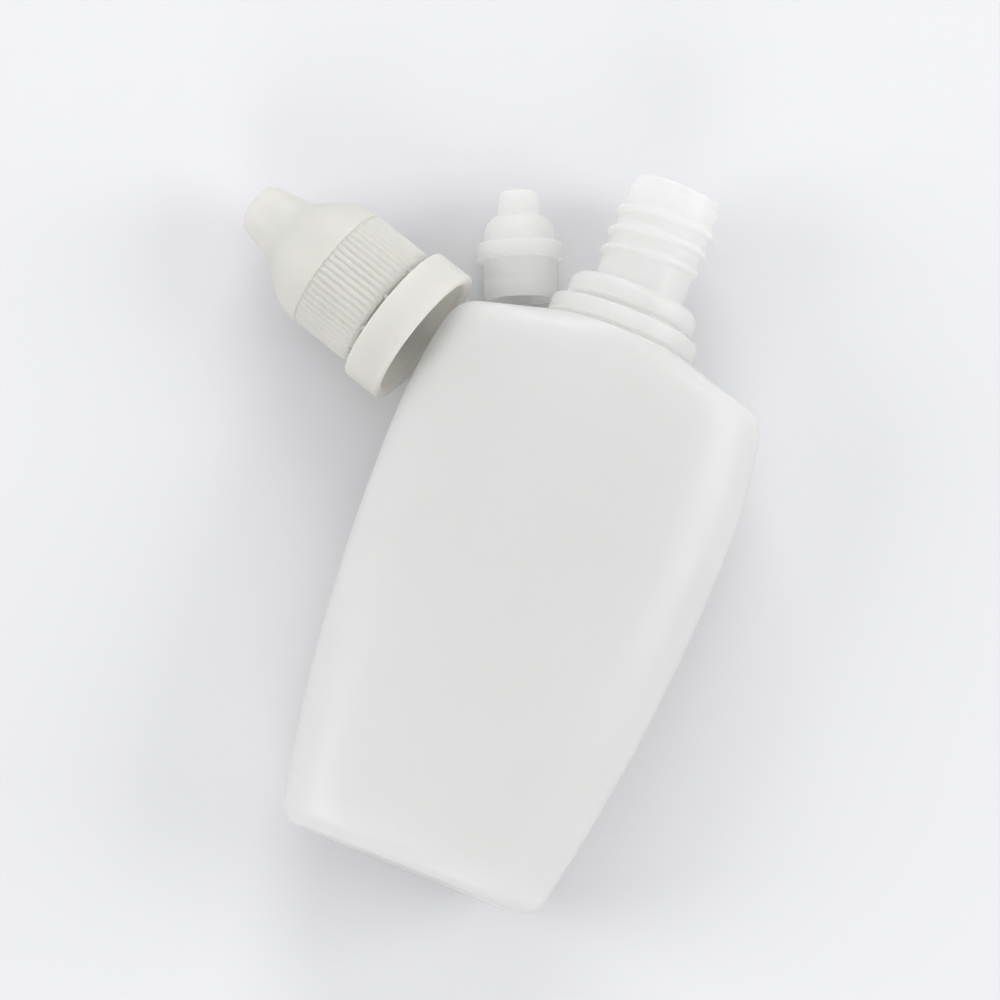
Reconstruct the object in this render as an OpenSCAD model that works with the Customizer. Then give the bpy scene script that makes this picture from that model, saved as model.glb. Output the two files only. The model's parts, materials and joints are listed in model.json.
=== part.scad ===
// Squeeze dropper bottle with its insert and its ribbed cap, laid out loose on a table.
// The bottle lies on its broad back. The cap and the insert lie beside its left shoulder.
// Each piece is drawn standing up in its own frame, with its height along Z, and then laid down.

/* [Bottle body] */
// Height of the body from its base to the top of the shoulder
body_height = 81.4; // [76:0.2:92]
// Width of the broad face at its widest place
body_width = 51.6; // [48:0.2:58]
// Height of the widest place above the base
widest_height = 60; // [50:0.5:66]
// Width between the two sides, carried down to the plane of the base
base_width = 38.6; // [34:0.2:44]
// Width between the two sides, carried up to the corner of the shoulder
shoulder_width = 47.2; // [44:0.2:47.8]
// How far the shoulder falls from the neck to its corner
shoulder_drop = 3.4; // [2:0.1:6]
// Depth of the body from front to back
body_depth = 24.6; // [23.4:0.2:30]
// Squareness of the oval, where 2 is a plain ellipse
oval_power = 2.4; // [2:0.1:3]
// How strongly the sides bow between the base and the widest place
side_bow = 2.1; // [1.6:0.1:2.6]
// Radius of the rounded heel
heel_radius = 2.6; // [1.6:0.1:4]
// How far the rounding of the shoulder corner reaches
corner_reach = 2.6; // [1:0.1:4]
// Width of the ring that the bottle stands on
foot_width = 2; // [1:0.1:3]
// Height of the hollow under the base
push_up = 1.2; // [0.6:0.1:2]
// Thickness of the body wall
wall = 1; // [0.7:0.05:1.4]

/* [Bottle neck] */
// Diameter of the neck where it leaves the shoulder
neck_foot_diameter = 23.2; // [22.8:0.1:24]
// Height of the plain root between the shoulder and the flange
neck_root_height = 0.6; // [0.4:0.1:1.5]
// Diameter of that root
neck_root_diameter = 20.8; // [20:0.1:21.6]
// Diameter of the flange that the tamper band sits on
flange_diameter = 22.3; // [22:0.1:23]
// Height of the flange
flange_height = 2.6; // [1.6:0.1:3.4]
// Height of the groove that the band's teeth drop into
groove_height = 1; // [0.8:0.1:1.5]
// Diameter of that groove
groove_diameter = 18; // [17:0.1:18.4]
// Diameter of the collar that holds the band
collar_diameter = 19.3; // [18.9:0.1:20]
// Height of the collar
collar_height = 3.1; // [2:0.1:3.4]
// Diameter of the neck under its thread
thread_root_diameter = 13.4; // [13:0.1:14.2]
// How far the thread stands out of the neck
thread_depth = 0.65; // [0.4:0.05:0.8]
// Length of the straight neck that carries the thread
thread_zone = 15; // [13:0.1:18]
// Height of the narrower lip at the mouth
lip_height = 1.3; // [0.8:0.1:2]
// Diameter of the lip
lip_diameter = 12.6; // [12.2:0.1:13]
// Bore of the mouth
mouth_diameter = 10.6; // [10:0.1:11]

/* [Dropper insert] */
// Length of the plug that is pressed into the mouth
plug_length = 5.8; // [4:0.1:8]
// Wall of the plug
plug_wall = 1; // [0.7:0.05:1.4]
// Diameter of the insert's flange
insert_flange_diameter = 12.7; // [12.5:0.1:13.1]
// Height of the insert's flange
insert_flange_height = 2.4; // [1:0.1:3]
// Diameter of the dome where it rises from the flange
dome_diameter = 10.8; // [10:0.1:11.2]
// Height of the dome
dome_height = 4; // [3:0.1:5]
// Height of the nozzle above the dome
nozzle_height = 3.8; // [2.5:0.1:4]
// Diameter of the nozzle where it leaves the dome
nozzle_diameter = 6.4; // [5.6:0.1:6.8]
// Diameter of the nozzle at its tip
nozzle_tip_diameter = 5.4; // [4.6:0.1:5.8]
// Diameter of the hole that meters the drops
drop_hole_diameter = 1; // [0.6:0.1:1.6]

/* [Cap] */
// Diameter of the rounded nose at its end
nose_diameter = 7.6; // [7.2:0.1:8.4]
// Radius of the rounding at the end of the nose
nose_round = 1.5; // [0.8:0.1:2]
// Diameter of the nose where the flare starts
nose_base_diameter = 10.2; // [9.8:0.1:10.8]
// Length of the nose from its end to the flare
nose_length = 6.4; // [5:0.1:8]
// Length of the flare between the nose and the skirt
flare_length = 8.8; // [7:0.1:11]
// Diameter of the shoulder at the end of the flare
cap_shoulder_diameter = 19.5; // [19.4:0.1:20.4]
// Diameter of the skirt over its ribs
skirt_diameter = 19.3; // [18.4:0.1:19.3]
// Length of the ribbed skirt
skirt_length = 9.8; // [8:0.1:12]
// How far the ribs stand out of the skirt
rib_depth = 0.35; // [0.2:0.05:0.5]
// Number of ribs round the skirt
rib_count = 60; // [36:2:72]
// Thickness of the end of the nose
cap_top_wall = 1.2; // [0.8:0.1:1.6]
// Wall of the nose
nose_wall = 0.9; // [0.7:0.05:1.2]

/* [Tamper band] */
// Gap between the skirt and the band, spanned by the bridges
bridge_gap = 0.9; // [0.5:0.1:1.4]
// Number of bridges
bridge_count = 10; // [6:1:14]
// Width of one bridge
bridge_width = 0.8; // [0.5:0.1:1.2]
// Height of the band
band_height = 5.9; // [5:0.1:7]
// Diameter of the band
band_diameter = 22; // [21.8:0.1:23]
// Chamfer on the edges of the band
band_chamfer = 0.4; // [0.2:0.05:0.6]
// Height of the lip that carries the bridges
band_lip_height = 0.8; // [0.6:0.1:1]
// How deep the teeth of the band reach in under the collar
tooth_depth = 0.45; // [0.3:0.05:0.6]

/* [Fits] */
// How much larger the plug is than the mouth, on the radius, so that it grips
plug_grip = 0.06; // [0:0.01:0.1]
// Clearance round the thread inside the cap, on the radius
thread_clearance = 0.25; // [0.15:0.05:0.4]
// Clearance between the band and the collar, on the radius
band_clearance = 0.2; // [0.1:0.05:0.3]

/* [Places on the table] */
// Distance from the bottle's side to the middle of the band's open end
cap_beside = 0.1; // [0:0.1:10]
// Distance from the top of the shoulder down to the middle of the band's open end
cap_below = 10; // [9:0.5:20]
// Turn of the cap, where 0 points its open end straight at the bottle
cap_turn = -17.6; // [-30:0.2:0]
// Distance from the neck's flange, at the insert's own height, to the middle of the plug's end
insert_beside = 5.7; // [5.6:0.1:6.4]
// Distance from the top of the shoulder up to the middle of the plug's end
insert_above = 1.3; // [1:0.1:6]
// Turn of the insert, where 0 lies along the bottle
insert_turn = 23.4; // [10:0.2:40]

/* [Hidden] */
$fn = 96;
SIDES = 48;
ARC_STEPS = 5;
BODY_STEPS = 12;
OVERLAP = 0.2;
INNER_HEEL_MIN = 0.4;
BORE_SHARE = 0.7;
BRIDGE_SHARE = 0.8;

corner_height = body_height - shoulder_drop;
flange_start = body_height + neck_root_height;
groove_start = flange_start + flange_height;
collar_start = groove_start + groove_height;
thread_start = collar_start + collar_height;
lip_start = thread_start + thread_zone;
overall_height = lip_start + lip_height;

plug_radius = mouth_diameter / 2 + plug_grip;
dome_start = plug_length + insert_flange_height;
nozzle_start = dome_start + dome_height;
insert_length = nozzle_start + nozzle_height;

skirt_start = nose_length + flare_length;
skirt_end = skirt_start + skirt_length;
cap_bore_radius = thread_root_diameter / 2 + thread_depth + thread_clearance;
cap_bore_start = nose_length + BORE_SHARE * flare_length;
band_start = skirt_end + bridge_gap;
band_end = band_start + band_height;
band_bore_radius = collar_diameter / 2 + band_clearance;

// The cap lies on the front edge of its band and on the shoulder at the end of its flare.
cap_rest_front = skirt_start;
cap_rest_back = band_start + band_chamfer;
cap_tilt = atan((band_diameter - cap_shoulder_diameter) / 2 / (cap_rest_back - cap_rest_front));
nose_lift = cap_shoulder_diameter / 2 * cos(cap_tilt) - cap_rest_front * sin(cap_tilt);

// End of the nose, measured from the bottle's axis and base.
cap_axis_x = cos(cap_tilt) * cos(cap_turn);
cap_axis_y = cos(cap_tilt) * sin(cap_turn);
nose_x = -body_width / 2 - cap_beside - band_end * cap_axis_x;
nose_y = body_height - cap_below - band_end * cap_axis_y;

// Middle of the plug's end, measured from the bottle's axis and base.
insert_drop = (body_depth - insert_flange_diameter) / 2;
flange_reach = sqrt(pow(flange_diameter / 2, 2) - pow(insert_drop, 2));
plug_x = -flange_reach - insert_beside;
plug_y = body_height + insert_above;

// The origin lies on the table, under the middle of the whole layout.
nose_edge_radius = nose_diameter / 2 - nose_round;
left_end = nose_x + nose_round * cap_axis_x
    - nose_edge_radius * sqrt(1 - pow(cap_axis_x, 2)) - nose_round;
middle_x = (body_width / 2 + left_end) / 2;
middle_y = overall_height / 2;

// Point at share t of a curve that leaves p0 towards p1 and reaches p3 from p2.
function curve(p0, p1, p2, p3, t) =
    pow(1 - t, 3) * p0 + 3 * t * pow(1 - t, 2) * p1
    + 3 * t * t * (1 - t) * p2 + pow(t, 3) * p3;

// Points along such a curve, in equal steps of t.
function curve_points(p0, p1, p2, p3, steps) =
    [for (i = [0:steps]) curve(p0, p1, p2, p3, i / steps)];

// Points of an arc with half axes rx and ry round a centre, from angle a to angle b.
function arc_points(centre, rx, ry, a, b) =
    [for (i = [0:ARC_STEPS])
        let (angle = a + (b - a) * i / ARC_STEPS)
        centre + [rx * cos(angle), ry * sin(angle)]];

// Half of the body's width at height z, before the heel and the shoulder are rounded.
function side_half(z) =
    z < widest_height
    ? (body_width - (body_width - base_width)
        * pow((widest_height - z) / widest_height, side_bow)) / 2
    : (body_width - (body_width - shoulder_width)
        * pow((z - widest_height) / (corner_height - widest_height), 2)) / 2;

// A level of the body is [height, half width, half depth, power of its oval].
function level(z, half_width, inset) =
    [z, half_width - inset, body_depth / 2 - inset, oval_power];

// Levels of the heel and the side, for a surface that lies inset inside the outer one.
function side_levels(floor_z, heel, inset) = concat(
    [for (i = [0:ARC_STEPS])
        let (angle = 90 * i / ARC_STEPS, z = floor_z + heel * (1 - cos(angle)))
        level(z, side_half(z), inset + heel * (1 - sin(angle)))],
    [for (i = [1:BODY_STEPS])
        let (start = floor_z + heel, end = corner_height - corner_reach)
        let (z = start + (end - start) * i / BODY_STEPS)
        level(z, side_half(z), inset)]);

// Levels from the side over the rounded corner and up the shoulder to the round neck.
function shoulder_levels(inset) =
    let (
        neck_half = neck_foot_diameter / 2 - inset,
        side = [side_half(corner_height - corner_reach) - inset, corner_height - corner_reach],
        corner = [shoulder_width / 2 - inset, corner_height - inset],
        neck = [neck_half, body_height - inset],
        slope = (neck - corner) / norm(neck - corner),
        past_corner = corner + slope * corner_reach,
        points = concat(
            curve_points(side, (side + 2 * corner) / 3, (past_corner + 2 * corner) / 3,
                past_corner, ARC_STEPS),
            [for (i = [1:ARC_STEPS]) past_corner + (neck - past_corner) * i / ARC_STEPS]))
    [for (i = [1:len(points) - 1])
        let (
            p = points[i],
            share = (p[0] - neck_half) / (side[0] - neck_half),
            depth = neck_half + (body_depth / 2 - inset - neck_half) * sqrt(max(share, 0)))
        [p[1], p[0], depth, 2 + (oval_power - 2) * share]];

// Outline of one level as points in space.
function ring(l) = [for (i = [0:SIDES - 1])
    let (angle = 360 * i / SIDES, c = cos(angle), s = sin(angle), e = 2 / l[3])
    [l[1] * sign(c) * pow(abs(c), e), l[2] * sign(s) * pow(abs(s), e), l[0]]];

// Closed solid through a list of levels, from the lowest to the highest.
module loft(levels) {
    count = len(levels);
    points = [for (l = levels) each ring(l)];
    walls = [for (k = [0:count - 2], i = [0:SIDES - 1])
        let (a = k * SIDES + i, b = k * SIDES + (i + 1) % SIDES)
        each [[a, a + SIDES, b], [b, a + SIDES, b + SIDES]]];
    floor_face = [for (i = [0:SIDES - 1]) i];
    roof_face = [for (i = [SIDES - 1:-1:0]) (count - 1) * SIDES + i];
    polyhedron(points, concat([floor_face], walls, [roof_face]));
}

// Outside of the body. Its base has a standing ring round a shallow hollow.
module body_outside() {
    inner_foot = heel_radius + foot_width;
    loft(concat(
        [level(push_up, side_half(0), inner_foot + push_up),
         level(0, side_half(0), inner_foot)],
        side_levels(0, heel_radius, 0),
        shoulder_levels(0)));
}

// Inside of the body, one wall thickness in.
module body_inside() {
    loft(concat(
        side_levels(push_up + wall, max(heel_radius - wall, INNER_HEEL_MIN), wall),
        shoulder_levels(wall)));
}

// Solid neck, from just inside the shoulder up to the mouth.
module neck_outside() {
    collar_lead = 0.8;
    flange_edge = 0.35;
    lip_edge = 0.4;
    rotate_extrude() polygon([
        [0, body_height - wall / 2],
        [neck_root_diameter / 2, body_height - wall / 2],
        [neck_root_diameter / 2, flange_start],
        [flange_diameter / 2 - flange_edge, flange_start],
        [flange_diameter / 2, flange_start + flange_edge],
        [flange_diameter / 2, groove_start - flange_edge],
        [flange_diameter / 2 - flange_edge, groove_start],
        [groove_diameter / 2, groove_start],
        [groove_diameter / 2, collar_start],
        [collar_diameter / 2, collar_start],
        [collar_diameter / 2, thread_start - collar_lead],
        [collar_diameter / 2 - collar_lead, thread_start],
        [thread_root_diameter / 2, thread_start],
        [thread_root_diameter / 2, lip_start],
        [lip_diameter / 2, lip_start],
        [lip_diameter / 2, overall_height - lip_edge],
        [lip_diameter / 2 - lip_edge, overall_height],
        [0, overall_height]]);
}

// Passage through the neck. It widens into the body below the groove.
module neck_passage() {
    funnel_start = body_height - wall - OVERLAP;
    funnel_radius = neck_foot_diameter / 2 - wall - 2 * OVERLAP;
    bore_radius = mouth_diameter / 2;
    rotate_extrude() polygon([
        [0, funnel_start],
        [funnel_radius, funnel_start],
        [bore_radius, groove_start],
        [bore_radius, overall_height + OVERLAP],
        [0, overall_height + OVERLAP]]);
}

module bottle() {
    color("whitesmoke") difference() {
        union() {
            body_outside();
            neck_outside();
        }
        body_inside();
        neck_passage();
    }
}

// The insert stands on the end of its plug, with its nozzle up.
module dropper_insert() {
    lead = 0.5;
    tip_edge = 0.8;
    bead = 0.1;
    bead_height = 0.5;
    flange_radius = insert_flange_diameter / 2;
    flange_edge = 0.25;
    tip_radius = nozzle_tip_diameter / 2;
    nozzle_radius = nozzle_diameter / 2;
    nozzle_wall = 1.3;
    nozzle_bore = nozzle_radius - nozzle_wall;
    hole_length = 1.5;
    well_radius = plug_radius - plug_wall;
    well_top = dome_start - plug_wall / 2;
    color("whitesmoke") difference() {
        rotate_extrude() polygon(concat(
            [[0, 0], [plug_radius - lead, 0], [plug_radius, lead],
             [plug_radius, plug_length / 2 - bead_height],
             [plug_radius + bead, plug_length / 2],
             [plug_radius, plug_length / 2 + bead_height],
             [plug_radius, plug_length],
             [flange_radius - flange_edge, plug_length],
             [flange_radius, plug_length + flange_edge],
             [flange_radius, dome_start - flange_edge],
             [flange_radius - flange_edge, dome_start]],
            arc_points([nozzle_radius, dome_start], dome_diameter / 2 - nozzle_radius,
                dome_height, 0, 90),
            [[tip_radius, insert_length - tip_edge],
             [tip_radius - tip_edge / 3, insert_length - tip_edge / 3],
             [tip_radius - tip_edge, insert_length],
             [0, insert_length]]));
        rotate_extrude() polygon(concat(
            [[0, -OVERLAP], [well_radius, -OVERLAP]],
            arc_points([nozzle_bore, well_top], well_radius - nozzle_bore,
                dome_height - plug_wall / 2, 0, 90),
            [[drop_hole_diameter / 2, insert_length - hole_length],
             [drop_hole_diameter / 2, insert_length + OVERLAP],
             [0, insert_length + OVERLAP]]));
    }
}

// Outline of the ribbed skirt, seen along its axis.
module ribbed_outline() {
    pitch = 360 / rib_count;
    crest = skirt_diameter / 2;
    root = crest - rib_depth;
    polygon([for (i = [0:rib_count - 1])
        let (a = i * pitch)
        each [
            root * [cos(a), sin(a)],
            root * [cos(a + 0.3 * pitch), sin(a + 0.3 * pitch)],
            crest * [cos(a + 0.5 * pitch), sin(a + 0.5 * pitch)],
            crest * [cos(a + 0.8 * pitch), sin(a + 0.8 * pitch)]]]);
}

// Hollow of the cap: room for the nozzle, for the insert's flange and for the threaded neck.
module cap_hollow() {
    edge = 0.5;
    leave = [0.5, 2];
    reach = [0.6, 3.2];
    nose_bore = nose_diameter / 2 - nose_wall;
    start = [nose_base_diameter / 2 - nose_wall, nose_length];
    end = [cap_bore_radius, cap_bore_start];
    rotate_extrude() polygon(concat(
        [[0, cap_top_wall], [nose_bore - edge, cap_top_wall], [nose_bore, cap_top_wall + edge]],
        curve_points(start, start + leave, end - reach, end, 2 * ARC_STEPS),
        [[cap_bore_radius, skirt_end + OVERLAP], [0, skirt_end + OVERLAP]]));
}

// The cap stands on the end of its nose, with its open end up.
module cap() {
    leave = [0.7, 2.2];
    reach = [0.4, 5.2];
    start = [nose_base_diameter / 2, nose_length];
    end = [cap_shoulder_diameter / 2, skirt_start];
    color("ivory") difference() {
        union() {
            rotate_extrude() polygon(concat(
                [[0, 0]],
                arc_points([nose_edge_radius, nose_round], nose_round, nose_round, -90, 0),
                curve_points(start, start + leave, end - reach, end, 2 * ARC_STEPS),
                [[0, skirt_start]]));
            translate([0, 0, skirt_start - OVERLAP])
                linear_extrude(skirt_length + OVERLAP) ribbed_outline();
        }
        cap_hollow();
    }
}

// Ring below the skirt. It carries the bridges and stays on the neck when the cap is opened.
module tamper_band() {
    outer = band_diameter / 2;
    lip_setback = 1;
    lip_radius = cap_bore_radius + lip_setback;
    lip_end = band_start + band_lip_height;
    skirt_root = skirt_diameter / 2 - rib_depth;
    bridge_depth = (skirt_root - lip_radius) * BRIDGE_SHARE;
    tooth_radius = band_bore_radius - tooth_depth;
    tooth_height = 1;
    tooth_top = band_end - tooth_height;
    color("ivory") {
        rotate_extrude() polygon([
            [lip_radius, band_start],
            [outer - band_chamfer, band_start],
            [outer, band_start + band_chamfer],
            [outer, band_end - band_chamfer],
            [outer - band_chamfer, band_end],
            [band_bore_radius, band_end],
            [tooth_radius, band_end - tooth_depth],
            [tooth_radius, tooth_top],
            [band_bore_radius, tooth_top],
            [band_bore_radius, lip_end],
            [lip_radius, lip_end]]);
        for (i = [0:bridge_count - 1])
            rotate([0, 0, 360 * i / bridge_count])
                translate([lip_radius, -bridge_width / 2, skirt_end])
                    cube([bridge_depth, bridge_width, bridge_gap + OVERLAP]);
    }
}

// Moves the layout so that the origin is under its middle.
module on_table() {
    translate([-middle_x, -middle_y, 0]) children();
}

// Lays the bottle on its back, with its base at the near end.
module lay_bottle() {
    on_table() translate([0, 0, body_depth / 2]) rotate([-90, 0, 0]) children();
}

// Lays the insert on the rim of its flange.
module lay_insert() {
    on_table() translate([plug_x, plug_y, insert_flange_diameter / 2])
        rotate([0, 0, insert_turn]) rotate([-90, 0, 0]) children();
}

// Lays the cap and its band on their side, nose down and to the left.
module lay_cap() {
    on_table() translate([nose_x, nose_y, nose_lift])
        rotate([0, 0, cap_turn]) rotate([0, 90 - cap_tilt, 0]) children();
}

lay_bottle() bottle();
lay_insert() dropper_insert();
lay_cap() cap();
lay_cap() tamper_band();
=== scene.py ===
# A squeeze dropper bottle of natural polyethylene, lying on a pale table with its loose insert and cap.
import json
import math
import bmesh
import bpy
from mathutils import Matrix, Vector


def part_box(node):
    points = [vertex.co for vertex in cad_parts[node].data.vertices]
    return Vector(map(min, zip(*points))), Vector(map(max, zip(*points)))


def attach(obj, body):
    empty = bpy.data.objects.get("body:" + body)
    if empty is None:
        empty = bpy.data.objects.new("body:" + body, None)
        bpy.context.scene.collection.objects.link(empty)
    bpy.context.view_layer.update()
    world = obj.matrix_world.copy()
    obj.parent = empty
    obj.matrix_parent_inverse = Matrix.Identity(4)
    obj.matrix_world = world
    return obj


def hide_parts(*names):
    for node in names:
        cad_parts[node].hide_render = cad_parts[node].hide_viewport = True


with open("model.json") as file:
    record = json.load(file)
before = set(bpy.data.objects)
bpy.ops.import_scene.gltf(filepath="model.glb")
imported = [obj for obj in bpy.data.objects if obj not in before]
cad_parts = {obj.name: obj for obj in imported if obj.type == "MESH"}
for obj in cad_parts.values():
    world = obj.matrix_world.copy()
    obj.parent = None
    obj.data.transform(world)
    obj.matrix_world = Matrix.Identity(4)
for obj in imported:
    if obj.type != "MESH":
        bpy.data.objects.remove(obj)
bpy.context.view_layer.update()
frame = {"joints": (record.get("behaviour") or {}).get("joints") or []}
MM = 0.001

# Bottle. One blow moulding of natural low density polyethylene: a flat oval body with convex sides,
# a sloping shoulder and a tall neck. It is 1 mm thick and open at the mouth, so its mesh is one closed
# skin that runs up the outside, over the lip and down the inside again.
BODY_HEIGHT = 81.4
BODY_WIDTH = 51.6
WIDEST_HEIGHT = 60.0
BASE_WIDTH = 38.6
SHOULDER_WIDTH = 47.2
CORNER_HEIGHT = 78.0
CORNER_REACH = 2.6
HALF_DEPTH = 12.3
OVAL_POWER = 2.4
SIDE_BOW = 2.1
HEEL_RADIUS = 2.6
FOOT_WIDTH = 2.0
HOLLOW_EDGE = 1.5
PUSH_UP = 1.2
WALL = 1.0
ROUND_STEP = 2.5

SEAM_HEIGHT = 0.09
SEAM_CREST_ANGLE = 0.2
SEAM_HALF_ANGLE = 0.7
SEAM_SETBACK = 0.11
SEAM_STEPS = (-1.4, -0.7, -0.35, 0.35, 0.7, 1.4)  # degrees to either side of a seam
PINCH_LENGTH = 25.0
PINCH_WIDTH = 1.1
PINCH_HEIGHT = 0.35

NECK_FOOT_RADIUS = 11.6
ROOT_RADIUS = 10.4
FLANGE_START = 82.0
FLANGE_RADIUS = 11.15
GROOVE_START = 84.6
GROOVE_RADIUS = 9.0
COLLAR_START = 85.6
COLLAR_RADIUS = 9.65
COLLAR_SLOPE_START = 87.9
COLLAR_END = 88.7
COLLAR_END_RADIUS = 8.85
THREAD_ROOT_RADIUS = 6.7
LIP_START = 103.7
LIP_RADIUS = 6.3
NECK_END = 105.0
MOUTH_RADIUS = 5.3
MOUTH_LOWEST = 84.6
OUTSIDE_FROM = 6.0  # radius between the bore and the lip

THREAD_ZONE = (89.3, 103.4)  # heights
THREAD_PITCH = 3.0
THREAD_TURNS = 3.2
THREAD_START = 91.6
THREAD_DEPTH = 0.65
THREAD_HALF_FOOT = 0.85
THREAD_HALF_CREST = 0.3
THREAD_RUN_OUT = 0.12


def smooth_step(low, high, x):
    """0 below low, 1 above high and an S between them."""
    t = min(max((x - low) / (high - low), 0.0), 1.0)
    return t * t * (3 - 2 * t)


def curve(p0, p1, p2, p3, steps):
    """Points along a cubic Bezier curve, both ends included."""
    out = []
    for i in range(steps + 1):
        t = i / steps
        out.append(p0 * (1 - t) ** 3 + p1 * 3 * t * (1 - t) ** 2 + p2 * 3 * t * t * (1 - t) + p3 * t ** 3)
    return out


def rounded(corners, longest):
    """Outline through (radius, height, rounding) corners, with each corner rounded and long runs divided."""
    corner_steps = 5
    points = [Vector(c[:2]) for c in corners]
    out = [points[0]]
    for i in range(1, len(points) - 1):
        before, here, after = points[i - 1:i + 2]
        reach = min(corners[i][2], 0.48 * (here - before).length, 0.48 * (after - here).length)
        start = here + (before - here).normalized() * reach
        end = here + (after - here).normalized() * reach
        out += curve(start, (start + 2 * here) / 3, (end + 2 * here) / 3, end, corner_steps)
    out.append(points[-1])
    divided = [out[0]]
    for a, b in zip(out, out[1:]):
        count = max(1, math.ceil((b - a).length / longest))
        divided += [a + (b - a) * k / count for k in range(1, count + 1)]
    return divided


def side_half(height):
    """Half of the body's width at a height, before the heel and the shoulder are rounded."""
    if height < WIDEST_HEIGHT:
        share = ((WIDEST_HEIGHT - height) / WIDEST_HEIGHT) ** SIDE_BOW
        return (BODY_WIDTH - (BODY_WIDTH - BASE_WIDTH) * share) / 2
    share = ((height - WIDEST_HEIGHT) / (CORNER_HEIGHT - WIDEST_HEIGHT)) ** 2
    return (BODY_WIDTH - (BODY_WIDTH - SHOULDER_WIDTH) * share) / 2


def oval(height, inset, centre=1.0):
    """A level of the body: height, half width, half depth and squareness, drawn in by inset."""
    half = side_half(height)
    return (height, (half - inset) * centre, (HALF_DEPTH - inset) * centre, OVAL_POWER)


def side_levels(floor, heel, inset, steps):
    """Levels of the rounded heel and the side up to the shoulder corner."""
    out = []
    heel_steps = 8
    for i in range(heel_steps + 1):
        angle = math.radians(90 * i / heel_steps)
        height = floor + heel * (1 - math.cos(angle))
        out.append(oval(height, inset + heel * (1 - math.sin(angle))))
    start, end = floor + heel, CORNER_HEIGHT - CORNER_REACH
    for i in range(1, steps + 1):
        out.append(oval(start + (end - start) * i / steps, inset))
    return out


def shoulder_levels(inset):
    """Levels over the shoulder corner and up the slope to the round foot of the neck."""
    neck_half = NECK_FOOT_RADIUS - inset
    side = Vector((side_half(CORNER_HEIGHT - CORNER_REACH) - inset, CORNER_HEIGHT - CORNER_REACH))
    corner = Vector((SHOULDER_WIDTH / 2 - inset, CORNER_HEIGHT - inset))
    neck = Vector((neck_half, BODY_HEIGHT - inset))
    past = corner + (neck - corner).normalized() * CORNER_REACH
    corner_steps, slope_steps = 10, 14
    points = curve(side, (side + 2 * corner) / 3, (past + 2 * corner) / 3, past, corner_steps)
    points += [past + (neck - past) * i / slope_steps for i in range(1, slope_steps + 1)]
    out = []
    for p in points[1:]:
        share = max((p[0] - neck_half) / (side[0] - neck_half), 0.0)
        depth = neck_half + (HALF_DEPTH - inset - neck_half) * math.sqrt(share)
        out.append((p[1], p[0], depth, 2 + (OVAL_POWER - 2) * share))
    return out


def thread_height(angle, height):
    """How far the thread stands out of the neck at an angle and a height."""
    turn = angle / (2 * math.pi)
    nearest = round((height - THREAD_START) / THREAD_PITCH - turn)
    along = turn + nearest
    off = abs(height - THREAD_START - along * THREAD_PITCH)
    ends = smooth_step(0, THREAD_RUN_OUT, along) * smooth_step(0, THREAD_RUN_OUT, THREAD_TURNS - along)
    return THREAD_DEPTH * ends * (1 - smooth_step(THREAD_HALF_CREST, THREAD_HALF_FOOT, off))


WELD_DISTANCE = 1e-7


def skin(rings, name):
    """A closed mesh through rings of points. A ring of one point is a pole."""
    mesh = bpy.data.meshes.new(name)
    verts, faces, starts = [], [], []
    for ring in rings:
        starts.append(len(verts))
        verts += [Vector(p) * MM for p in ring]
    for k in range(len(rings) - 1):
        a, b, na, nb = starts[k], starts[k + 1], len(rings[k]), len(rings[k + 1])
        count = max(na, nb)
        for i in range(count):
            j = (i + 1) % count
            quad = [a + i % na, a + j % na, b + j % nb, b + i % nb]
            faces.append([v for n, v in enumerate(quad) if v not in quad[:n]])
    mesh.from_pydata(verts, [], faces)
    build = bmesh.new()
    build.from_mesh(mesh)
    bmesh.ops.remove_doubles(build, verts=build.verts, dist=WELD_DISTANCE)
    bmesh.ops.recalc_face_normals(build, faces=build.faces)
    build.to_mesh(mesh)
    build.free()
    mesh.shade_smooth()
    return mesh


def together(meshes, name):
    """One mesh that holds several closed ones."""
    build = bmesh.new()
    for mesh in meshes:
        build.from_mesh(mesh)
    joined = bpy.data.meshes.new(name)
    build.to_mesh(joined)
    build.free()
    joined.shade_smooth()
    return joined


def bottle_angles():
    """Angles round the bottle, closer together at the two mould seams on its narrow sides."""
    even = [i * ROUND_STEP for i in range(round(360 / ROUND_STEP))]
    close = [side + step for side in (0, 180) for step in SEAM_STEPS]
    return [math.radians(a) for a in sorted(set(even + [c % 360 for c in close]))]


def level_points(level, threaded, seamed):
    """Points of one level of the bottle, with the thread and the mould seam where they belong."""
    height, half_width, half_depth, power = level
    if seamed:
        half_width -= SEAM_SETBACK
    out = []
    for angle in bottle_angles():
        c, s = math.cos(angle), math.sin(angle)
        x = half_width * math.copysign(abs(c) ** (2 / power), c)
        y = half_depth * math.copysign(abs(s) ** (2 / power), s)
        grow = thread_height(angle, height) if threaded else 0.0
        if seamed:
            off = abs(math.degrees(math.asin(max(-1.0, min(1.0, s)))))
            grow += SEAM_HEIGHT * (1 - smooth_step(SEAM_CREST_ANGLE, SEAM_HALF_ANGLE, off))
        out.append((x + grow * c, y + grow * s, height))
    return out


def pinch_rings():
    """The low weld across the hollow of the base, where the mould pinched the hot tube shut."""
    steps, sides = 24, 12
    around = [2 * math.pi * j / sides for j in range(sides)]
    rings = [[(-PINCH_LENGTH / 2, 0, PUSH_UP)]]
    for i in range(1, steps):
        angle = math.pi * i / steps
        thick = math.sin(angle) ** 0.5
        rings.append([(-PINCH_LENGTH / 2 * math.cos(angle), PINCH_WIDTH / 2 * thick * math.cos(a),
                       PUSH_UP + PINCH_HEIGHT * thick * math.sin(a)) for a in around])
    return rings + [[(PINCH_LENGTH / 2, 0, PUSH_UP)]]


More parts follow.
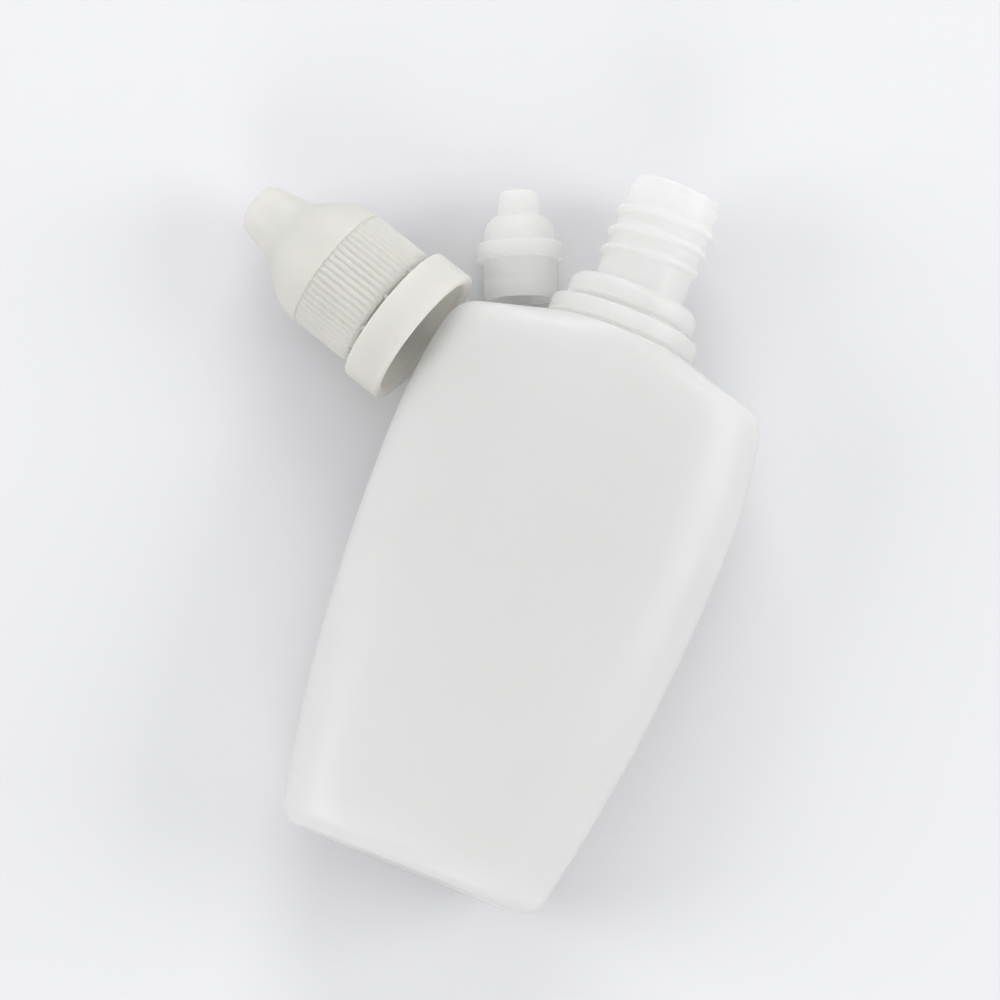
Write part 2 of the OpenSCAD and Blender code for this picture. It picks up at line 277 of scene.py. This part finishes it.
def bottle_mesh():
    """The bottle standing up, its base at height 0 and its axis on Z."""
    foot_inset = HEEL_RADIUS + FOOT_WIDTH
    rings = [[(0, 0, PUSH_UP)]]
    for centre in (0.3, 0.6, 0.85, 0.97, 1.0):
        rings.append(level_points(oval(PUSH_UP, foot_inset + HOLLOW_EDGE, centre), False, False))
    for share in (0.25, 0.5, 0.75, 1.0):
        height = PUSH_UP * (1 - smooth_step(0, 1, share))
        rings.append(level_points(oval(height, foot_inset + HOLLOW_EDGE * (1 - share)), False, False))
    for level in side_levels(0, HEEL_RADIUS, 0, steps=44) + shoulder_levels(0):
        rings.append(level_points(level, False, True))
    neck = rounded([
        (NECK_FOOT_RADIUS, BODY_HEIGHT, 0), (ROOT_RADIUS, BODY_HEIGHT + 0.05, 0.25),
        (ROOT_RADIUS, FLANGE_START, 0.25), (FLANGE_RADIUS, FLANGE_START, 0.45),
        (FLANGE_RADIUS, GROOVE_START, 0.45), (GROOVE_RADIUS, GROOVE_START, 0.3),
        (GROOVE_RADIUS, COLLAR_START, 0.2), (COLLAR_RADIUS, COLLAR_START, 0.3),
        (COLLAR_RADIUS, COLLAR_SLOPE_START, 0.5), (COLLAR_END_RADIUS, COLLAR_END, 0.4),
        (THREAD_ROOT_RADIUS, COLLAR_END, 0.5), (THREAD_ROOT_RADIUS, LIP_START, 0.15),
        (LIP_RADIUS, LIP_START + 0.05, 0.1), (LIP_RADIUS, NECK_END, 0.5), (MOUTH_RADIUS, NECK_END, 0.35),
        (MOUTH_RADIUS, MOUTH_LOWEST, 3.0), (NECK_FOOT_RADIUS - WALL - 0.4, BODY_HEIGHT - WALL - 0.2, 0.6),
        (NECK_FOOT_RADIUS - WALL, BODY_HEIGHT - WALL, 0)], longest=0.16)
    for radius, height in neck[1:-1]:
        outside = radius > OUTSIDE_FROM
        threaded = outside and THREAD_ZONE[0] < height < THREAD_ZONE[1]
        rings.append(level_points((height, radius, radius, 2), threaded, outside))
    inner = side_levels(PUSH_UP + WALL, HEEL_RADIUS - WALL, WALL, steps=30) + shoulder_levels(WALL)
    for level in reversed(inner):
        rings.append(level_points(level, False, False))
    rings.append(level_points(oval(PUSH_UP + WALL, foot_inset, 0.5), False, False))
    rings.append([(0, 0, PUSH_UP + WALL)])
    return together([skin(rings, "bottle_skin"), skin(pinch_rings(), "pinch_off")], "bottle")


def srgb(code):
    """An sRGB hex colour as linear RGBA."""
    parts = [int(code[i:i + 2], 16) / 255 for i in (1, 3, 5)]
    return [p / 12.92 if p <= 0.04045 else ((p + 0.055) / 1.055) ** 2.4 for p in parts] + [1.0]


def add(tree, kind, settings=(), values=(), links=()):
    """A node in tree, with its settings, its input values and the outputs that feed it."""
    made = tree.nodes.new(kind)
    for key, value in dict(settings).items():
        setattr(made, key, value)
    for key, value in dict(values).items():
        made.inputs[key].default_value = value
    for key, output in dict(links).items():
        tree.links.new(output, made.inputs[key])
    return made


def let_through(tree, surface, colour, share):
    """Lets a share of the light that meets a milky wall come out softly on its other side."""
    through = add(tree, "ShaderNodeBsdfTranslucent", links={"Color": colour})
    both = add(tree, "ShaderNodeMixShader", values={0: share},
               links={1: surface.outputs["BSDF"], 2: through.outputs["BSDF"]})
    tree.links.new(both.outputs["Shader"], tree.nodes["Material Output"].inputs["Surface"])


# Natural low density polyethylene is milky and lets light through. Blow moulded against a sandblasted
# mould it is satin, with faint clouds some 15 mm across where the wall varies and a grain from the
# blasting, drawn 0.6 mm coarse so that it shows. Injection moulded it is paler, smoother and glossier.
CLOUD_SIZE = 0.015
CLOUD_HEIGHT = 0.0006
GRAIN_SIZE = 0.0006
GRAIN_HEIGHT = 0.00006
POLYETHYLENE_IOR = 1.51


def natural_polyethylene(name, tints, roughness, grain_strength, through):
    """The material, from two tints, a roughness range, the grain and the share of light let through."""
    material = bpy.data.materials.new(name)
    material.use_nodes = True
    tree = material.node_tree
    surface = tree.nodes["Principled BSDF"]
    place = add(tree, "ShaderNodeTexCoord").outputs["Object"]
    clouds = add(tree, "ShaderNodeTexNoise", links={"Vector": place},
                 values={"Scale": 1 / CLOUD_SIZE, "Detail": 2.0, "Roughness": 0.5})
    tint = add(tree, "ShaderNodeMix", {"data_type": "RGBA"}, links={"Factor": clouds.outputs["Fac"]})
    tint.inputs["A"].default_value = srgb(tints[0])
    tint.inputs["B"].default_value = srgb(tints[1])
    tree.links.new(tint.outputs["Result"], surface.inputs["Base Color"])
    rough = add(tree, "ShaderNodeMapRange", values={"To Min": roughness[0], "To Max": roughness[1]},
                links={"Value": clouds.outputs["Fac"]})
    tree.links.new(rough.outputs["Result"], surface.inputs["Roughness"])
    grain = add(tree, "ShaderNodeTexNoise", values={"Scale": 1 / GRAIN_SIZE, "Detail": 3.0},
                links={"Vector": place})
    bump = add(tree, "ShaderNodeBump", values={"Strength": grain_strength, "Distance": GRAIN_HEIGHT},
               links={"Height": grain.outputs["Fac"]})
    waves = add(tree, "ShaderNodeBump", values={"Strength": 0.25, "Distance": CLOUD_HEIGHT},
                links={"Height": clouds.outputs["Fac"], "Normal": bump.outputs["Normal"]})
    tree.links.new(waves.outputs["Normal"], surface.inputs["Normal"])
    surface.inputs["IOR"].default_value = POLYETHYLENE_IOR
    surface.inputs["Transmission Weight"].default_value = 0.4
    surface.inputs["Subsurface Weight"].default_value = 1.0
    surface.inputs["Subsurface Scale"].default_value = 0.0015
    surface.inputs["Subsurface Radius"].default_value = (1.0, 1.0, 0.95)
    let_through(tree, surface, tint.outputs["Result"], through)
    return material


def laid(mesh, name, place, material, body, node):
    """Puts a mesh in the row frame as a piece that stands for a CAD node."""
    mesh.transform(place)
    mesh.materials.clear()
    mesh.materials.append(material)
    piece = bpy.data.objects.new(name, mesh)
    bpy.context.scene.collection.objects.link(piece)
    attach(piece, body)
    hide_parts(node)


bottle_low, bottle_high = (Vector(corner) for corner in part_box("bottle"))
bottle_base = Vector(((bottle_low.x + bottle_high.x) / 2, bottle_low.y, (bottle_low.z + bottle_high.z) / 2))
bottle_place = Matrix.Translation(bottle_base) @ Matrix.Rotation(math.radians(-90), 4, "X")
blown = natural_polyethylene("natural_ldpe_blow_moulded", tints=("#F7F7F5", "#FCFCFB"),
                             roughness=(0.3, 0.4), grain_strength=0.12, through=0.4)
laid(bottle_mesh(), "blown_bottle", bottle_place, blown, "bottle", "bottle")


# Dropper insert. One injection moulding of the same natural polyethylene: a hollow plug with a sealing
# bead, a flange that stops it at the lip, a dome and a short nozzle with a 1 mm drop hole. It lies loose
# on the rim of its flange, left of the neck.
INSERT_LEFT = 15.13
INSERT_UP = 82.7
INSERT_TURN = 23.4
INSERT_STEPS = 128
PLUG_RADIUS = 5.36
PLUG_LENGTH = 5.8
PLUG_TIP_RADIUS = 4.86
WELL_RADIUS = 4.36
BEAD_HEIGHT = 0.1
INSERT_FLANGE_RADIUS = 6.35
INSERT_FLANGE_END = 8.2
DOME_RADIUS = 5.4
NOZZLE_TIP_RADIUS = 2.72
INSERT_LENGTH = 16.0
DROP_HOLE_RADIUS = 0.5
DROP_HOLE_START = 14.5


def lathe(outline, steps, name):
    """A closed mesh turned round Z from an outline that ends where it starts."""
    turns = [2 * math.pi * i / steps for i in range(steps)]
    rings = []
    for radius, height in outline:
        rings.append([(radius * math.cos(a), radius * math.sin(a), height) for a in turns])
    return skin(rings, name)


insert_outline = rounded([
    (DROP_HOLE_RADIUS, DROP_HOLE_START, 0), (1.9, 11.2, 0.4), (3.5, 10.5, 0.7), (4.25, 9.2, 0.6),
    (WELL_RADIUS, 7.7, 0.4), (WELL_RADIUS, 0, 0.2), (PLUG_TIP_RADIUS, 0, 0.1), (PLUG_RADIUS, 0.5, 0.2),
    (PLUG_RADIUS, 2.5, 0.1), (PLUG_RADIUS + BEAD_HEIGHT, 2.9, 0.2), (PLUG_RADIUS, 3.3, 0.1),
    (PLUG_RADIUS, PLUG_LENGTH, 0.2), (INSERT_FLANGE_RADIUS, PLUG_LENGTH, 0.3),
    (INSERT_FLANGE_RADIUS, INSERT_FLANGE_END, 0.35), (DOME_RADIUS, INSERT_FLANGE_END, 0.25),
    (5.15, 10.4, 1.4), (4.1, 12.0, 1.2), (3.15, 12.3, 0.4), (NOZZLE_TIP_RADIUS, INSERT_LENGTH, 0.7),
    (DROP_HOLE_RADIUS, INSERT_LENGTH, 0.15), (DROP_HOLE_RADIUS, DROP_HOLE_START, 0)], longest=0.4)
insert_place = (Matrix.Translation(bottle_base)
                @ Matrix.Translation(Vector((-INSERT_LEFT, INSERT_UP,
                                             INSERT_FLANGE_RADIUS - HALF_DEPTH)) * MM)
                @ Matrix.Rotation(math.radians(INSERT_TURN), 4, "Z")
                @ Matrix.Rotation(math.radians(-90), 4, "X"))
moulded = natural_polyethylene("natural_ldpe_injection_moulded", tints=("#FCFCFA", "#FFFFFE"),
                               roughness=(0.29, 0.36), grain_strength=0.03, through=0.5)
laid(lathe(insert_outline, INSERT_STEPS, "insert_skin"), "moulded_insert", insert_place, moulded,
     "dropper_insert", "dropper_insert")


# Cap. An injection moulding of warm ivory polyethylene with walls that glow a little when lit: a blunt
# nose, a hollow flare and a skirt with sixty fine grip ribs. It is made standing on the end of its nose,
# and one sector with one rib is repeated round its axis and merged into a closed shell.
RIB_COUNT = 60
RIB_DEPTH = 0.35
RIB_SIDES = 6
GATE_RADIUS = 1.1
GATE_DEPTH = 0.3
NOSE_BASE_RADIUS = 5.1
NOSE_BORE_RADIUS = 4.1
NOSE_LENGTH = 6.4
NOSE_END_WALL = 1.2
FLARE_RADIUS = 9.72
FLARE_END = 15.0
SKIRT_START = 15.3
SKIRT_END = 25.0
SKIRT_ROOT = 9.3
BORE_RADIUS = 7.6
INNER_THREAD_START = 14.4
INNER_THREAD_SUNK = 0.1
INNER_TURNS = 2.5
INNER_STEPS = 72
INNER_RUN_OUT = 0.06
SECTOR_MERGE = 1e-6


def cap_outline():
    """The cap's outline from the outer pole over the rim to the inner pole."""
    nose = rounded([(0, 0.08, 0), (0.35, 0.08, 0.1), (0.42, GATE_DEPTH, 0.1),
                    (GATE_RADIUS - 0.15, GATE_DEPTH, 0.15), (GATE_RADIUS, 0, 0.12), (2.9, 0, 0.7),
                    (3.8, 0.9, 0.9), (NOSE_BASE_RADIUS, NOSE_LENGTH, 0)], longest=0.6)
    flare = curve(Vector((NOSE_BASE_RADIUS, NOSE_LENGTH)), Vector((5.8, 8.6)), Vector((9.32, 10.0)),
                  Vector((FLARE_RADIUS, FLARE_END)), 18)
    skirt = rounded([(FLARE_RADIUS, FLARE_END, 0), (9.74, 15.18, 0.12), (SKIRT_ROOT, SKIRT_START, 0.1),
                     (SKIRT_ROOT, 24.9, 0.1), (9.15, SKIRT_END, 0.1), (7.75, SKIRT_END, 0.15),
                     (BORE_RADIUS, 24.8, 0.1), (BORE_RADIUS, 12.6, 0)], longest=0.5)
    inside = curve(Vector((BORE_RADIUS, 12.56)), Vector((7.0, 9.4)), Vector((4.6, 8.4)),
                   Vector((NOSE_BORE_RADIUS, NOSE_LENGTH)), 12)
    end = rounded([(NOSE_BORE_RADIUS, NOSE_LENGTH, 0), (2.9, 1.8, 0.4), (2.5, NOSE_END_WALL, 0.3),
                   (0, NOSE_END_WALL, 0)], longest=0.6)
    return nose + flare[1:] + skirt[1:] + inside + end[1:]


def cap_sector():
    """One sector of the cap, one rib wide."""
    pitch = 2 * math.pi / RIB_COUNT
    mesh = bpy.data.meshes.new("cap_sector")
    verts, faces = [], []
    outline = cap_outline()
    for k, (radius, height) in enumerate(outline):
        fade_in = smooth_step(SKIRT_START, SKIRT_START + 0.4, height)
        fade_out = 1 - smooth_step(SKIRT_END - 0.7, SKIRT_END - 0.2, height)
        on_skirt = fade_in * fade_out if radius > (BORE_RADIUS + SKIRT_ROOT) / 2 else 0
        for i in range(RIB_SIDES + 1):
            share = i / RIB_SIDES
            rib = RIB_DEPTH * smooth_step(0.1, 0.4, share) * (1 - smooth_step(0.6, 0.9, share))
            r = radius + rib * on_skirt
            verts.append(Vector((r * math.cos(share * pitch), r * math.sin(share * pitch), height)) * MM)
        if k:
            a, b = (k - 1) * (RIB_SIDES + 1), k * (RIB_SIDES + 1)
            faces += [(a + i, a + i + 1, b + i + 1, b + i) for i in range(RIB_SIDES)]
    mesh.from_pydata(verts, [], faces)
    return mesh


def repeat_round(mesh, count, merge, material, name):
    """Geometry Nodes: copies a mesh count times round Z, merges what meets and makes it one mesh."""
    tree = bpy.data.node_groups.new(name, "GeometryNodeTree")
    sockets = {}
    for label, kind in (("Shape", "Geometry"), ("Count", "Int"), ("Merge Distance", "Float"),
                        ("Material", "Material")):
        sockets[label] = tree.interface.new_socket(label, in_out="INPUT", socket_type="NodeSocket" + kind)
    tree.interface.new_socket("Result", in_out="OUTPUT", socket_type="NodeSocketGeometry")
    given = add(tree, "NodeGroupInput").outputs
    points = add(tree, "GeometryNodePoints", links={"Count": given["Count"]})
    step = add(tree, "ShaderNodeMath", {"operation": "DIVIDE"}, {0: 2 * math.pi}, {1: given["Count"]})
    index = add(tree, "GeometryNodeInputIndex")
    angle = add(tree, "ShaderNodeMath", {"operation": "MULTIPLY"},
                links={0: index.outputs["Index"], 1: step.outputs[0]})
    turn = add(tree, "ShaderNodeCombineXYZ", links={"Z": angle.outputs[0]})
    copies = add(tree, "GeometryNodeInstanceOnPoints",
                 links={"Points": points.outputs[0], "Instance": given["Shape"],
                        "Rotation": turn.outputs[0]})
    real = add(tree, "GeometryNodeRealizeInstances", links={"Geometry": copies.outputs[0]})
    merged = add(tree, "GeometryNodeMergeByDistance",
                 links={"Geometry": real.outputs[0], "Distance": given["Merge Distance"]})
    coloured = add(tree, "GeometryNodeSetMaterial",
                   links={"Geometry": merged.outputs[0], "Material": given["Material"]})
    add(tree, "NodeGroupOutput", links={"Result": coloured.outputs[0]})
    source = bpy.data.objects.new(name + "_source", mesh)
    bpy.context.scene.collection.objects.link(source)
    modifier = source.modifiers.new(name, "NODES")
    modifier.node_group = tree
    modifier[sockets["Count"].identifier] = count
    modifier[sockets["Merge Distance"].identifier] = merge
    modifier[sockets["Material"].identifier] = material
    done = bpy.data.meshes.new_from_object(source.evaluated_get(bpy.context.evaluated_depsgraph_get()))
    source.modifiers.clear()
    bpy.data.objects.remove(source)
    build = bmesh.new()
    build.from_mesh(done)
    bmesh.ops.remove_doubles(build, verts=build.verts, dist=WELD_DISTANCE)
    bmesh.ops.dissolve_degenerate(build, edges=build.edges, dist=WELD_DISTANCE / 10)
    bmesh.ops.recalc_face_normals(build, faces=build.faces)
    build.to_mesh(done)
    build.free()
    done.shade_smooth()
    return done


# Ivory polyethylene, injection moulded and about 2 mm thick: light goes in a little way and comes out
# warm, so that thin edges and the inside of the skirt glow. The skin is satin with a faint 4 mm mottle.
MOTTLE_SIZE = 0.004
MOTTLE_HEIGHT = 0.0002


def ivory_polyethylene():
    """The material of the cap and the band."""
    material = bpy.data.materials.new("ivory_polyethylene_injection_moulded")
    material.use_nodes = True
    tree = material.node_tree
    surface = tree.nodes["Principled BSDF"]
    place = add(tree, "ShaderNodeTexCoord").outputs["Object"]
    mottle = add(tree, "ShaderNodeTexNoise", values={"Scale": 1 / MOTTLE_SIZE, "Detail": 3.0},
                 links={"Vector": place})
    tint = add(tree, "ShaderNodeMix", {"data_type": "RGBA"}, links={"Factor": mottle.outputs["Fac"]})
    tint.inputs["A"].default_value = srgb("#ECEBE6")
    tint.inputs["B"].default_value = srgb("#F0EFEC")
    tree.links.new(tint.outputs["Result"], surface.inputs["Base Color"])
    rough = add(tree, "ShaderNodeMapRange", values={"To Min": 0.36, "To Max": 0.5},
                links={"Value": mottle.outputs["Fac"]})
    tree.links.new(rough.outputs["Result"], surface.inputs["Roughness"])
    bump = add(tree, "ShaderNodeBump", values={"Strength": 0.1, "Distance": MOTTLE_HEIGHT},
               links={"Height": mottle.outputs["Fac"]})
    tree.links.new(bump.outputs["Normal"], surface.inputs["Normal"])
    surface.inputs["IOR"].default_value = POLYETHYLENE_IOR
    surface.inputs["Subsurface Weight"].default_value = 1.0
    surface.inputs["Subsurface Scale"].default_value = 0.0016
    surface.inputs["Subsurface Radius"].default_value = (1.0, 0.9, 0.75)
    let_through(tree, surface, tint.outputs["Result"], 0.5)
    return material


ivory = ivory_polyethylene()
turn_joint = next(j for j in frame["joints"] if j["name"] == "cap_turn")
cap_axis = Vector(turn_joint["axis"]).normalized()
cap_place = (Matrix.Translation(Vector(turn_joint["pos_m"]))
             @ Matrix.Rotation(math.atan2(cap_axis.y, cap_axis.x), 4, "Z")
             @ Matrix.Rotation(math.acos(cap_axis.z), 4, "Y"))


def inner_thread_rings():
    """Rings of the thread inside the skirt, which runs between the turns of the neck's own thread."""
    steps = int(INNER_TURNS * INNER_STEPS)
    foot = BORE_RADIUS + INNER_THREAD_SUNK
    rings = []
    for i in range(steps + 1):
        share = i / steps
        angle = 2 * math.pi * INNER_TURNS * share
        grow = smooth_step(0, INNER_RUN_OUT, share) * (1 - smooth_step(1 - INNER_RUN_OUT, 1, share))
        crest = foot - (THREAD_DEPTH + INNER_THREAD_SUNK) * max(grow, 0.02)
        height = INNER_THREAD_START + THREAD_PITCH * INNER_TURNS * share
        corners = ((foot, THREAD_HALF_FOOT), (crest, THREAD_HALF_CREST),
                   (crest, -THREAD_HALF_CREST), (foot, -THREAD_HALF_FOOT))
        rings.append([(r * math.cos(angle), r * math.sin(angle), height + up) for r, up in corners])
    middle = [tuple(sum(p[k] for p in ring) / 4 for k in range(3)) for ring in (rings[0], rings[-1])]
    return [[middle[0]]] + rings + [[middle[1]]]


cap_shell = repeat_round(cap_sector(), RIB_COUNT, SECTOR_MERGE, ivory, "ribbed_cap")
cap_mesh = together([cap_shell, skin(inner_thread_rings(), "cap_thread")], "cap")
laid(cap_mesh, "ribbed_cap", cap_place, ivory, "cap", "cap")


# Tamper band. It leaves the mould on the cap's skirt, held by ten thin bridges that snap when the cap is
# first turned. Teeth on its inside drop under the collar of the neck and keep it there.
BRIDGE_COUNT = 10
BRIDGE_WIDTH = 0.8
BRIDGE_INNER = 8.6
BRIDGE_OUTER = 9.15
BRIDGE_WAIST = 0.7
BAND_START = 25.9
BAND_END = 31.8
BAND_RADIUS = 11.0
BAND_BORE_RADIUS = 9.85
BAND_LIP_END = 26.7
TOOTH_RADIUS = 9.42
BAND_STEPS = 180


def bridge_mesh():
    """One bridge, waisted where it snaps."""
    mesh = bpy.data.meshes.new("bridge")
    build = bmesh.new()
    rows = []
    waist = ((SKIRT_END, 1.0), (SKIRT_END + 0.3, BRIDGE_WAIST), (SKIRT_END + 0.6, BRIDGE_WAIST),
             (BAND_START + 0.1, 1.0))
    for height, share in waist:
        half = BRIDGE_WIDTH / 2 * share
        corners = ((BRIDGE_INNER, -half), (BRIDGE_OUTER, -half), (BRIDGE_OUTER, half), (BRIDGE_INNER, half))
        rows.append([build.verts.new(Vector((x, y, height)) * MM) for x, y in corners])
    for low, high in zip(rows, rows[1:]):
        for i in range(4):
            build.faces.new((low[i], low[(i + 1) % 4], high[(i + 1) % 4], high[i]))
    build.faces.new(rows[0][::-1])
    build.faces.new(rows[-1])
    build.to_mesh(mesh)
    build.free()
    return mesh


def band_mesh():
    """The closed ring of the band, round the cap's own axis."""
    outline = rounded([
        (9.4, BAND_START, 0), (BAND_RADIUS - 0.05, BAND_START, 0.4), (BAND_RADIUS, BAND_END - 0.05, 0.4),
        (9.9, BAND_END, 0.2), (TOOTH_RADIUS, 31.4, 0.15), (TOOTH_RADIUS, 30.8, 0.1),
        (BAND_BORE_RADIUS, 30.75, 0.1), (BAND_BORE_RADIUS, BAND_LIP_END, 0.2),
        (BRIDGE_INNER, BAND_LIP_END - 0.05, 0.2), (BRIDGE_INNER, BAND_START, 0.15), (9.4, BAND_START, 0)],
        longest=0.5)
    return lathe(outline, BAND_STEPS, "band_ring")


bridges = repeat_round(bridge_mesh(), BRIDGE_COUNT, WELD_DISTANCE, ivory, "bridges")
band = together([band_mesh(), bridges], "band")
laid(band, "tamper_ring", cap_place, ivory, "tamper_band", "tamper_band")


# Studio. A pale seamless table, soft boxes low on all sides and a weaker one overhead, so that the
# pieces keep soft shadows all round, and a camera overhead that leans 7 degrees towards the base.
TABLE_SIZE = 3.0
SIDE_BOXES = ((20, 3.6), (110, 3.45), (200, 3.2), (290, 2.2))  # angle round the table, watts
SIDE_BOX_REACH = 0.8
SIDE_BOX_HEIGHT = 0.42
SIDE_BOX_SIZE = 0.5
TOP_BOX_PLACE = (-0.1, 0.25, 1.1)
TOP_BOX_SIZE = 0.9
TOP_BOX_POWER = 1.4
AIR_STRENGTH = 0.58
VIEW_WIDTH = 0.1429
LENS = 150.0
SENSOR = 36.0
LEAN = math.radians(7)
IMAGE_UP = Vector((-0.371, 0.928, 0))
LOOK_AT = Vector((0.00834, 0.0012, 0.0123))


def table():
    """A flat table top, wide enough to fill every view, at the height that the pieces lie on."""
    build = bmesh.new()
    bmesh.ops.create_grid(build, x_segments=4, y_segments=4, size=TABLE_SIZE / 2)
    mesh = bpy.data.meshes.new("table_top")
    build.to_mesh(mesh)
    build.free()
    material = bpy.data.materials.new("white_laminate")
    material.use_nodes = True
    surface = material.node_tree.nodes["Principled BSDF"]
    surface.inputs["Base Color"].default_value = srgb("#D9D9DB")
    surface.inputs["Roughness"].default_value = 0.6
    mesh.materials.append(material)
    top = bpy.data.objects.new("table_top", mesh)
    bpy.context.scene.collection.objects.link(top)


def soft_box(name, place, size, power):
    """A square area light that points at the object."""
    light = bpy.data.lights.new(name, "AREA")
    light.shape = "SQUARE"
    light.size = size
    light.energy = power
    lamp = bpy.data.objects.new(name, light)
    lamp.location = place
    lamp.rotation_euler = (LOOK_AT - Vector(place)).to_track_quat("-Z", "Y").to_euler()
    bpy.context.scene.collection.objects.link(lamp)


table()
for number, (angle, power) in enumerate(SIDE_BOXES):
    at = (SIDE_BOX_REACH * math.cos(math.radians(angle)), SIDE_BOX_REACH * math.sin(math.radians(angle)),
          SIDE_BOX_HEIGHT)
    soft_box(f"side_box_{number}", at, SIDE_BOX_SIZE, power)
soft_box("top_box", TOP_BOX_PLACE, TOP_BOX_SIZE, TOP_BOX_POWER)
world = bpy.data.worlds.new("studio_air")
bpy.context.scene.world = world
world.use_nodes = True
air = world.node_tree.nodes["Background"]
air.inputs["Color"].default_value = srgb("#F4F5F8")
air.inputs["Strength"].default_value = AIR_STRENGTH

camera = bpy.data.objects.new("camera", bpy.data.cameras.new("camera"))
camera.data.lens = LENS
camera.data.sensor_width = SENSOR
distance = VIEW_WIDTH * LENS / SENSOR
away = Vector((0, -math.sin(LEAN), math.cos(LEAN)))
up = (IMAGE_UP - away * IMAGE_UP.dot(away)).normalized()
right = up.cross(away)
facing = Matrix((right, up, away)).transposed().to_4x4()
camera.matrix_world = Matrix.Translation(LOOK_AT + away * distance) @ facing
bpy.context.scene.collection.objects.link(camera)
bpy.context.scene.camera = camera
bpy.context.scene.view_settings.view_transform = "Standard"
